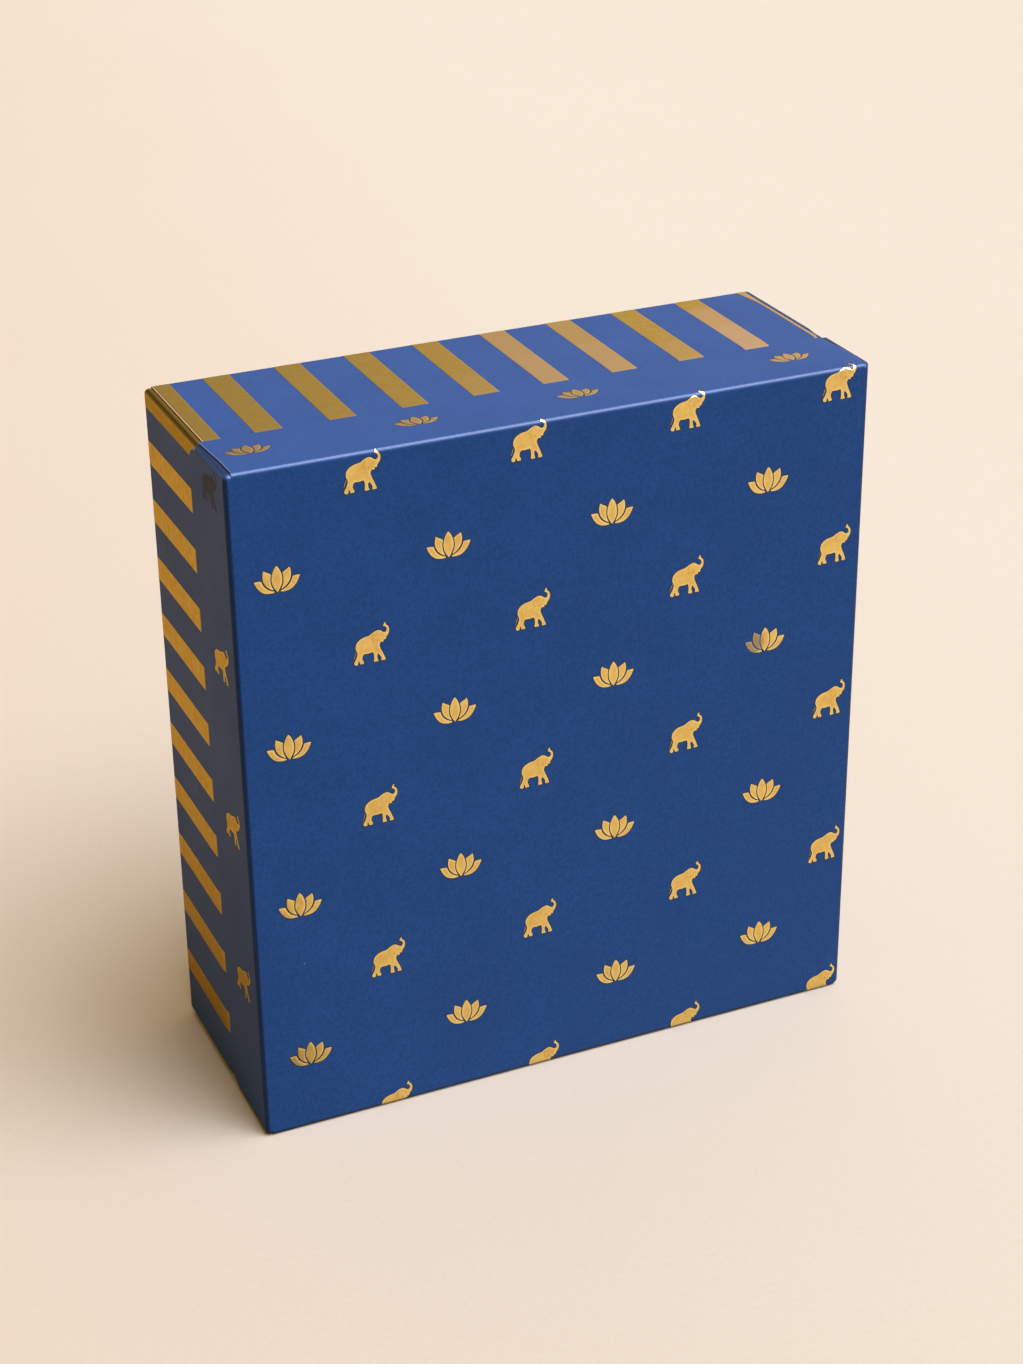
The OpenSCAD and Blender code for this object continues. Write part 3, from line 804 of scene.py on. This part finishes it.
def makeRepeatTree():
    # Repeats one foil shape in rows and columns on the flat blank; the lower rows can spread.
    tree, given, out = newGroup("foilRepeat", "GeometryNodeTree", [
        ("Shape", "Object"), ("Columns", "Int", 1), ("Rows", "Int", 1), ("Pitch Across", "Float", 0.05),
        ("Pitch Down", "Float", 0.05), ("Even Rows", "Float", 100.0), ("Spread", "Float", 0.0),
        ("Turn", "Float", 0.0), ("Stretch", "Vector", (1.0, 1.0, 1.0)), ("First", "Vector", (0.0, 0.0, 0.0)),
        ("Foil", "Material"), ("Pressed Line", "Material")], [("Geometry", "Geometry")])

    def reckon(*values):
        return mathNode(tree, *values)

    index = newNode(tree, "GeometryNodeInputIndex", -1100, -200).outputs[0]
    column = reckon("MODULO", -900, -100, index, given["Columns"])
    row = reckon("FLOOR", -700, -300, reckon("DIVIDE", -900, -300, index, given["Columns"]))
    late = reckon("MAXIMUM", -500, -450, reckon("SUBTRACT", -700, -450, row, given["Even Rows"]), 0.0)
    spread = reckon("MULTIPLY", -100, -450, reckon("MULTIPLY", -300, -450, late, late), given["Spread"])
    down = reckon("ADD", 100, -300, reckon("MULTIPLY", -300, -300, row, given["Pitch Down"]), spread)
    place = newNode(tree, "ShaderNodeCombineXYZ", 300, -150, {
        "X": reckon("MULTIPLY", 100, -100, column, given["Pitch Across"]),
        "Y": reckon("MULTIPLY", 200, -300, down, -1.0)})
    turn = newNode(tree, "ShaderNodeCombineXYZ", 400, 0, {"Z": given["Turn"]})
    shape = newNode(tree, "GeometryNodeObjectInfo", 400, -350, {"Object": given["Shape"]})
    pressed = newNode(tree, "GeometryNodeInputNamedAttribute", 950, -50, {"Name": "pressed"},
                      data_type="FLOAT")
    total = reckon("MULTIPLY", -1100, 300, given["Columns"], given["Rows"])
    made = newNode(tree, "GeometryNodePoints", 200, 200, {"Count": total}).outputs[0]
    for kind, x, inputs in (
            ("SetPosition", 400, {"Position": place.outputs[0]}),
            ("Transform", 600, {"Rotation": turn.outputs[0], "Translation": given["First"]}),
            ("InstanceOnPoints", 800, {"Instance": shape.outputs["Geometry"], "Scale": given["Stretch"]}),
            ("RealizeInstances", 950, {}),
            ("SetMaterial", 1100, {"Material": given["Foil"]}),
            ("SetMaterial", 1250, {"Selection": pressed.outputs["Attribute"],
                                   "Material": given["Pressed Line"]})):
        made = newNode(tree, "GeometryNode" + kind, x, 200, {0: made, **inputs}).outputs[0]
    plugIn(tree, out, {0: made})
    return tree


repeatTree = makeRepeatTree()
socketIds = {item.name[0].lower() + item.name[1:].replace(" ", ""): item.identifier
             for item in repeatTree.interface.items_tree if item.in_out == "INPUT"}


def repeated(shape, first, **inputs):
    # The repeated shape as a plain mesh on the flat blank
    holder = linked("foilHolder", bpy.data.meshes.new("foilHolder"))
    modifier = holder.modifiers.new("foilRepeat", "NODES")
    modifier.node_group = repeatTree
    inputs.update(shape=shape, first=(*first, 0.0), foil=foilMaterial, pressedLine=pressedShadeMaterial)
    for key, value in inputs.items():
        modifier[socketIds[key]] = value
    bpy.context.view_layer.update()
    graph = bpy.context.evaluated_depsgraph_get()
    mesh = bpy.data.meshes.new_from_object(holder.evaluated_get(graph), depsgraph=graph)
    holder.modifiers.clear()
    bpy.data.objects.remove(holder)
    return mesh


def foilPiece(node, blank, meshes, worn=(), haze=(), keep=None):
    # Folds flat foil meshes round the blank and joins them into the piece that stands for the node
    bm = bmesh.new()
    for mesh in meshes:
        bm.from_mesh(mesh)
    if keep:
        gone = [v for v in bm.verts if not keep(v.co.x, v.co.y)]
        bmesh.ops.delete(bm, geom=gone, context="VERTS")
    fade = foilFigures["spotFade"]
    # the first kind of spot is wear; the second is a painted pale reflection on the foil
    layers = [(bm.verts.layers.float.new(key), spots) for key, spots in (("worn", worn), ("haze", haze))]
    for v in bm.verts:
        for layer, spots in layers:
            for spotU, spotV, radius, amount in spots:
                near = math.hypot(v.co.x - spotU, v.co.y - spotV)
                v[layer] = max(v[layer], amount * smooth((radius - near) / (fade * radius)))
        v.co = foldPrint(blank, *v.co)
    if blank["inward"] < 0:
        bmesh.ops.reverse_faces(bm, faces=bm.faces[:])
    piece = addPiece(meshOf(bm, camel(node), foilMaterial, pressedShadeMaterial), node, blank)
    piece.visible_diffuse = False       # no bright glints thrown on the floor
    return piece


lidPrint = {
    "columns": 4, "elephantRows": 5, "lotusRows": 4, "wallRows": 4,
    "elephantFirst": (-60.85 * mm, 214.0 * mm), "elephantPitch": (50.6 * mm, 53.24 * mm),
    "lotusFirst": (-87.4 * mm, 186.25 * mm), "lotusPitch": (51.7 * mm, 53.2 * mm),
    "turn": math.radians(0.75),
    "foldReach": math.radians(76),      # the lowest elephants are cut off this far round the fold
    "wallDepth": 13.2 * mm, "wallFirst": 211.8 * mm, "wallPitch": 53.9 * mm,
    "wallLotusPlaces": (-88.9 * mm, -38.6 * mm, 11.9 * mm, 81.8 * mm), "wallLotusDepth": 14.9 * mm,
    "wallElephantStretch": (1.25, 1.0, 1.0), "wallLotusStretch": (1.0, 0.78, 1.0),
    # radius and amount of the painted pale reflection on a wall lotus, and of the wear on two figures
    "wallLotusHaze": (12 * mm, 0.5), "wornElephant": (14 * mm, 1.0), "wornLotus": (5 * mm, 0.55),
    "wornLotusPart": (-4 * mm, 2 * mm),
}
elephantShape = figureShape("elephantFoil", [elephantOutline, elephantTail], elephantMarks,
                            foilFigures["elephantInset"])
lotusOutlines = lotusPetals + [[(-x, y) for x, y in petal] for petal in lotusPetals[1:]]
lotusShape = figureShape("lotusFoil", lotusOutlines, lotusMarks, foilFigures["lotusInset"])


def pressLidFoil():
    p, blank = lidPrint, lidBlank
    sideU = blank["width"] / 2 - blank["fold"] + wallPrint(blank, p["wallDepth"])
    wallV = blank["height"] - blank["fold"] + wallPrint(blank, p["wallLotusDepth"])
    lowest = blank["fold"] * (1 - p["foldReach"])

    def onFace(shape, first, pitch, rows):
        return repeated(shape, first, columns=p["columns"], rows=rows, pitchAcross=pitch[0],
                        pitchDown=pitch[1], turn=p["turn"])

    elephants = [onFace(elephantShape, p["elephantFirst"], p["elephantPitch"], p["elephantRows"])]
    elephants += [repeated(elephantShape, (u, p["wallFirst"]), rows=p["wallRows"],
                           pitchDown=p["wallPitch"], stretch=p["wallElephantStretch"])
                  for u in (-sideU, sideU)]
    foilPiece("lid_foil_elephants", blank, elephants, keep=lambda u, v: v > lowest,
              worn=[(-sideU, p["wallFirst"], *p["wornElephant"])])
    lotuses = [onFace(lotusShape, p["lotusFirst"], p["lotusPitch"], p["lotusRows"])]
    lotuses += [repeated(lotusShape, (u, wallV), stretch=p["wallLotusStretch"]) for u in p["wallLotusPlaces"]]
    wornU = p["lotusFirst"][0] + (p["columns"] - 1) * p["lotusPitch"][0] + p["wornLotusPart"][0]
    wornV = p["lotusFirst"][1] - p["lotusPitch"][1] + p["wornLotusPart"][1]
    foilPiece("lid_foil_lotuses", blank, lotuses, worn=[(wornU, wornV, *p["wornLotus"])],
              haze=[(u, wallV, *p["wallLotusHaze"]) for u in p["wallLotusPlaces"]])


trayPrint = {
    "start": 0.35 * mm,             # the stripes start on the back crease, just past the flat panel
    "shy": 0.1 * mm,                # and stop this far before the wall's edge
    "topStripe": 8.3 * mm, "topPitch": 22.3 * mm, "topShift": -0.4 * mm, "topCount": 8,
    "topCornerLeft": 4.9 * mm, "topCornerRight": 0.7 * mm, "topCornerWedge": 2 * mm, "wedgeLength": 13 * mm,
    "sideStripe": 7.5 * mm, "sideFirst": 20 * mm, "sidePitch": 18.8 * mm, "sideCount": 10,
    "sideEven": 5.0, "sideSpread": 0.5 * mm,
    "sideCorner": 3.7 * mm, "cornerCell": 0.5 * mm,
    # painted shade on the corner foil: how much darker its side strip and its roll are, and a painted dark line
    # along the roll
    "cornerShade": 0.45, "rollShade": 0.3,
    "rollLine": (0.5, 0.85, 0.2),   # amount, place and width of a dark line along the roll
    "pressed": 0.1 * mm, "edgeLift": 0.002 * mm, "rimWidth": 0.3 * mm, "footRim": 0.7, "bevelRim": 0.56,
    "cellAcross": 1.2 * mm, "cellAlong": 2 * mm, "backCell": 0.25 * mm, "backRun": 4 * mm,
    # stripe, depth from the back, radius and amount of the foil's painted pale reflection
    "topHaze": [(3, 44 * mm, 15 * mm, 0.2), (4, 12 * mm, 17 * mm, 0.55), (4, 36 * mm, 17 * mm, 0.65),
                (5, 12 * mm, 17 * mm, 0.4), (5, 36 * mm, 17 * mm, 0.6), (6, 44 * mm, 15 * mm, 0.25),
                (7, 22 * mm, 15 * mm, 0.6), (7, 40 * mm, 17 * mm, 0.9), (8, 16 * mm, 17 * mm, 0.5),
                (8, 36 * mm, 17 * mm, 0.9)],
}


def stripeShape(name, width, wall, lidEdge, bend):
    # A strip along v from 0, with the same pressed line and lifted edges as the figures; it bends over
    # the back fold, and within the run before the seam where it goes under the lid
    p, bm, rows, side = trayPrint, bmesh.new(), [], -width / 2
    length = wallPrint(trayBlank, trayBlank[wall]) - p["start"] - p["shy"]
    seam = wallPrint(trayBlank, trayBlank[lidEdge]) - p["start"]
    bendStart = seam - blankShape[bend + "Run"]
    sunk, lift, bevel = (foilFigures[key] * mm for key in ("sunk", "lift", "bevel"))
    # the third value of each profile point is a painted highlight along the stripe's edges
    profile = [(side - p["pressed"], p["edgeLift"], 0), (side, sunk, p["footRim"]),
               (side + bevel, lift, p["bevelRim"]), (side + p["rimWidth"], lift, 0)]
    profile += [(u, lift, 0) for u in spaced(side, -side, p["cellAcross"])[1:-1]]
    profile += [(-u, w, rim) for u, w, rim in reversed(profile[:4])]
    rimHighlightLayer, pressedLayer = bm.verts.layers.float.new("rim"), bm.faces.layers.float.new("pressed")
    bm.verts.layers.float.new("mark")
    along = spaced(0, p["backRun"], p["backCell"])
    for start, end, step in ((p["backRun"], bendStart, p["cellAlong"]),
                             (bendStart, seam, blankShape[bend + "Cell"]), (seam, length, p["cellAlong"])):
        along += spaced(start, end, step)[1:]
    for v in along:
        rows.append([bm.verts.new((u, v, w)) for u, w, rim in profile])
        for vert, (u, w, rim) in zip(rows[-1], profile):
            vert[rimHighlightLayer] = rim
    last = len(profile) - 2
    for a, b in zip(rows, rows[1:]):
        for i in range(last + 1):
            face = bm.faces.new((a[i], a[i + 1], b[i + 1], b[i]))
            face[pressedLayer] = 1.0 if i in (0, last) else 0.0
            face.smooth = True
    return bpy.data.objects.new(name, meshOf(bm, name, foilMaterial))


def addCornerFoil(mesh, right):
    # The foil that rolls over a corner: from the side wall, over the corner crease, to the cut edge above
    p, blank, fold, h, roll = trayPrint, trayBlank, *(trayBlank[key] for key in ("fold", "height", "roll"))
    left, lift = -blank["width"] / 2 + fold, foilFigures["lift"] * mm
    side = spaced(h - roll - p["sideCorner"], h - roll, p["cornerCell"])[:-1]
    section = [(left - fold, z, -1, 0) for z in side]
    if not right:
        section += [(left - fold * c, h - roll + fold * s, -c, s) for s, c in arc]
        flat = spaced(left, left + blank["cutIn"] - fold, blankShape["fineCell"])[1:]
        section += [(x, h - blank["drop"], 0, 1) for x in flat]

    def row(d, lift):
        return [(x + nx * lift, d, z + nz * lift) for x, z, nx, nz in section]

    # round the back corner the strip narrows into the panel's crease
    rows = [row(fold - fold * s, lift - fold * (1 - c)) for s, c in reversed(arc[1:-2])]
    rows += [row(d, lift) for d in depthLines(blank, blank["tabDepth"])]
    amount, line, width = p["rollLine"]
    # painted shade, written into the mark layer: the roll darker with a dark line along it, and the side strip
    # darker
    shades = [p["rollShade"] + amount * smooth(1 - abs(nz - line) / width) if nz else p["cornerShade"]
              for x, z, nx, nz in section]
    bm = bmesh.new()
    bm.from_mesh(mesh)
    markAndShadeLayer = bm.verts.layers.float["mark"]
    made = []
    for line in rows:
        made.append([bm.verts.new(toWorld(blank, -x if right else x, d, z)) for x, d, z in line])
        for v, shade in zip(made[-1], shades):
            v[markAndShadeLayer] = shade
    for a, b in zip(made, made[1:]):
        for j in range(len(section) - 1):
            ring = (a[j], a[j + 1], b[j + 1], b[j])
            bm.faces.new(ring if right else ring[::-1]).smooth = True
    bm.to_mesh(mesh)
    bm.free()


def turnedOver(mesh, axis, span=0):
    # A flat print seen the other way round: each place becomes span less the place
    for v in mesh.vertices:
        v.co[axis] = span - v.co[axis]
    mesh.flip_normals()
    return mesh


def pressTrayFoil():
    p, blank = trayPrint, trayBlank
    w, h, fold = blank["width"], blank["height"], blank["fold"]
    firstU, firstV = -(p["topCount"] - 1) / 2 * p["topPitch"] + p["topShift"], h - fold + p["start"]
    stripe = stripeShape("topStripeFoil", p["topStripe"], "wallDepth", "edgeZ", "dip")
    across = [repeated(stripe, (firstU, firstV), columns=p["topCount"], pitchAcross=p["topPitch"])]
    for sign, wide in ((-1, p["topCornerLeft"]), (1, p["topCornerRight"])):
        corner = stripeShape("topCornerFoil", wide, "wallDepth", "edgeZ", "dip")
        cornerU = w / 2 - blank["cutIn"] - blankShape["cutLine"] - wide / 2
        if sign > 0:                    # it widens towards the back
            cornerU += blankShape["wideRight"]
            for v in corner.data.vertices:
                away = max(0, wide / 2 - v.co.x) / wide
                v.co.x -= away * p["topCornerWedge"] * max(0, 1 - v.co.y / p["wedgeLength"])
        across.append(repeated(corner, (sign * cornerU, firstV)))
    foilPiece("tray_foil_top", blank, across, haze=[
        (firstU + column * p["topPitch"], h + depth, radius, amount)
        for column, depth, radius, amount in p["topHaze"]])
    foilPiece("tray_foil_bottom", blank, [turnedOver(mesh.copy(), 1, h) for mesh in across])
    stripe = stripeShape("sideStripeFoil", p["sideStripe"], "sideDepth", "edgeX", "spring")
    for v in stripe.data.vertices:      # laid along u, away from the panel
        v.co.x, v.co.y = v.co.y, -v.co.x
    for side in ("left", "right"):
        mesh = repeated(stripe, (w / 2 - fold + p["start"], h - p["sideFirst"]), rows=p["sideCount"],
                        pitchDown=p["sidePitch"], evenRows=p["sideEven"], spread=p["sideSpread"])
        piece = foilPiece("tray_foil_" + side, blank, [mesh if side == "right" else turnedOver(mesh, 0)])
        addCornerFoil(piece.data, side == "right")


pressLidFoil()
pressTrayFoil()
print("foil pressed")


glueSpread = {
    "rows": 9, "rowStep": 2.5 * mm, "inset": 2 * mm, "ends": 5 * mm,
    "wave": 0.5 * mm, "waveAlong": 5.0, "waveAcross": 2.3,      # the blotchy edge
    "top": 0.9, "thickness": 0.8,       # shares of the gap between tab and wall
}


def spreadGlue(blank):
    # Thin blotchy glue between each corner tab and the wall over it
    g, node, h = glueSpread, blank["prefix"] + "glue_patches", blank["height"]
    z, thick = h - blank["drop"], blank["drop"] - blank["board"]
    ds = [d for d in depthLines(blank, blank["tabDepth"]) if g["ends"] < d < blank["tabDepth"] - g["ends"]]
    bm = bmesh.new()
    for right, low in corners:
        rows, made = [], []
        for i in range(g["rows"]):
            x = -blank["width"] / 2 + blank["cutIn"] + g["inset"] + i * g["rowStep"]
            rows.append([])
            for k, d in enumerate(ds):
                wave = g["wave"] * math.sin(g["waveAlong"] * k + g["waveAcross"] * i)
                spot = (-x - wave if right else x + wave, d,
                        h - z - thick * g["top"] if low else z + thick * g["top"])
                rows[-1].append(bm.verts.new(toWorld(blank, *spot)))
        for a, b in zip(rows, rows[1:]):
            for k in range(len(ds) - 1):
                made.append(bm.faces.new((a[k], b[k], b[k + 1], a[k + 1])))
        grown = bmesh.ops.extrude_face_region(bm, geom=made)["geom"]
        bmesh.ops.translate(bm, vec=(0, 0, thick * g["thickness"] * (1 if low else -1)),
                            verts=[v for v in grown if isinstance(v, bmesh.types.BMVert)])
    bmesh.ops.recalc_face_normals(bm, faces=bm.faces)
    addPiece(meshOf(bm, camel(node), glueMaterial), node, blank)


spreadGlue(lidBlank)
spreadGlue(trayBlank)
print("glue spread")


studio = {
    "floorHalf": 6, "floorRoughness": 0.9,
    # the floor as the camera sees it: painted light, darker to the left and paler to the right
    "floorLeft": srgb(234, 218, 203), "floorRight": srgb(241, 232, 223), "floorBounce": srgb(137, 126, 114),
    "floorBlend": (-0.35, 0.3), "floorSlant": 0.15,     # where left becomes right, turned a little
    "clouds": 0.12, "cloudScale": (300.0, 3.0),
    "weave": 0.22, "weaveScale": (700.0, 40.0), "weaveSpan": (0.3, 0.7),
    # the floor as gloss shows it, with painted shadow: at the far left, then each tint with where it starts and
    # is full, near black beside the box's left foot
    "mirroredLeft": srgb(194, 178, 170),
    "mirroredTints": ((-0.18, -0.115, srgb(176, 161, 152)), (-0.11, -0.104, srgb(34, 36, 44))),
    "mirroredSeen": (-0.1, -0.06),
    "keyFrom": (0.30, -0.38, 0.88), "keyStrength": 2.3, "keySpread": math.radians(46),
    "keyColour": (0.955, 1.03, 1.17),
    "sheenFrom": (0.36, -0.45, 0.82), "sheenStrength": 6.0, "sheenSpread": math.radians(48),
    "sheenColour": (0.84, 0.96, 1.2),       # only reflections show this lamp
    "ambientDark": (0.228, 0.143, 0.032), "ambientPale": (0.73, 0.587, 0.347), "ambientBlend": (-0.7, 0.7),
    "horizonDim": 0.5, "horizonEnd": 0.45,      # the room is darker towards the floor, up to this height
    "reflectDark": (0.14, 0.14, 0.12), "reflectPale": (0.83, 0.79, 1.05), "reflectBlend": (0.1, 0.6),
    "lens": 69.896, "sensor": 36, "clip": (0.01, 50), "cameraAt": (-294.93 * mm, -677.75 * mm, 493.67 * mm),
    "azimuth": -23.508, "elevation": 26.951, "roll": -0.804,
}


def makeFloor():
    s, half = studio, studio["floorHalf"]
    mesh = bpy.data.meshes.new("floor")
    corner = ((-half, -half, 0), (half, -half, 0), (half, half, 0), (-half, half, 0))
    mesh.from_pydata(corner, [], [(0, 1, 2, 3)])
    material, tree, shader, place = startMaterial("paleFloor")
    across = newNode(tree, "ShaderNodeSeparateXYZ", -900, 300, {0: place}).outputs
    clouds = grainNode(tree, 0, place, *s["cloudScale"])["Mottle"]
    weave = grainNode(tree, -600, place, *s["weaveScale"])["Tooth"]
    slant = mathNode(tree, "SUBTRACT", -800, 300, across["X"],
                     mathNode(tree, "MULTIPLY", -850, 450, across["Y"], s["floorSlant"]))
    side = mathNode(tree, "ADD", -500, 250, mapRange(tree, -700, 300, slant, *s["floorBlend"]),
                    mapRange(tree, -700, 0, clouds, 0.0, 1.0, -s["clouds"], s["clouds"]))
    side = mathNode(tree, "ADD", -400, 250, side,
                    mapRange(tree, -700, -600, weave, *s["weaveSpan"], -s["weave"], s["weave"]))
    # painted light: the floor's colour blends from the darker left to the paler right
    seen = mixColour(tree, -300, 250, side, s["floorLeft"], s["floorRight"])
    # painted shadow in what gloss sees: darker at the left and near black beside the box's foot, then the floor
    # as seen
    mirrored = s["mirroredLeft"]
    for i, (start, full, tint) in enumerate((*s["mirroredTints"], (*s["mirroredSeen"], seen))):
        mask = mapRange(tree, -700, -250 - 100 * i, across["X"], start, full)
        mirrored = mixColour(tree, -600 + 150 * i, 0, mask, mirrored, tint)
    rays = newNode(tree, "ShaderNodeLightPath", -500, -200).outputs
    colour = mixColour(tree, 0, 100, rays["Is Glossy Ray"], s["floorBounce"], mirrored)
    colour = mixColour(tree, 200, 200, rays["Is Camera Ray"], colour, seen)
    plugIn(tree, shader, {"Base Color": colour, "Roughness": s["floorRoughness"], "Specular IOR Level": 0.0})
    mesh.materials.append(material)
    linked("floor", mesh)


def addSun(name, key):
    sun = bpy.data.lights.new(name, "SUN")
    sun.energy, sun.angle, sun.color = (studio[key + part] for part in ("Strength", "Spread", "Colour"))
    lamp = linked(name, sun)
    lamp.rotation_euler = Vector(studio[key + "From"]).to_track_quat("Z", "Y").to_euler()
    return lamp


def lightScene():
    s = studio
    addSun("keyLight", "key")
    addSun("foldSheen", "sheen").visible_diffuse = False
    world = bpy.data.worlds.new("studioWorld")
    world.use_nodes = True
    tree = world.node_tree
    place = newNode(tree, "ShaderNodeTexCoord", -1100, 0).outputs["Generated"]
    way = newNode(tree, "ShaderNodeSeparateXYZ", -900, 0, {0: place}).outputs
    room = mixColour(tree, -400, 200, mapRange(tree, -650, 200, way["X"], *s["ambientBlend"]),
                     s["ambientDark"], s["ambientPale"])
    height = mapRange(tree, -650, 450, way["Z"], 0.0, s["horizonEnd"], s["horizonDim"], 1.0)
    room = mixColour(tree, -250, 200, height, (0.0, 0.0, 0.0), room)
    mirrored = mixColour(tree, -400, -100, mapRange(tree, -650, -100, way["X"], *s["reflectBlend"]),
                         s["reflectDark"], s["reflectPale"])
    rays = newNode(tree, "ShaderNodeLightPath", -400, 500).outputs
    colour = mixColour(tree, -100, 100, rays["Is Glossy Ray"], room, mirrored)
    colour = mixColour(tree, 100, 100, rays["Is Camera Ray"], colour, s["floorLeft"])
    plugIn(tree, tree.nodes["Background"], {"Color": colour})
    bpy.context.scene.world = world


def placeCamera():
    a, e, roll = (math.radians(studio[key]) for key in ("azimuth", "elevation", "roll"))
    back = Vector((math.sin(a) * math.cos(e), -math.cos(a) * math.cos(e), math.sin(e)))
    right = (-back).cross(Vector((0, 0, 1))).normalized()
    up = right.cross(-back)
    turnedRight = right * math.cos(roll) + up * math.sin(roll)
    turnedUp = up * math.cos(roll) - right * math.sin(roll)
    data = bpy.data.cameras.new("camera")
    data.lens, data.sensor_width = studio["lens"], studio["sensor"]
    data.clip_start, data.clip_end = studio["clip"]
    camera = linked("camera", data)
    turn = Matrix((turnedRight, turnedUp, back)).transposed().to_4x4()
    camera.matrix_world = Matrix.Translation(Vector(studio["cameraAt"])) @ turn
    bpy.context.scene.camera = camera


makeFloor()
lightScene()
placeCamera()
bpy.context.scene.view_settings.view_transform = "Standard"
print("studio ready")
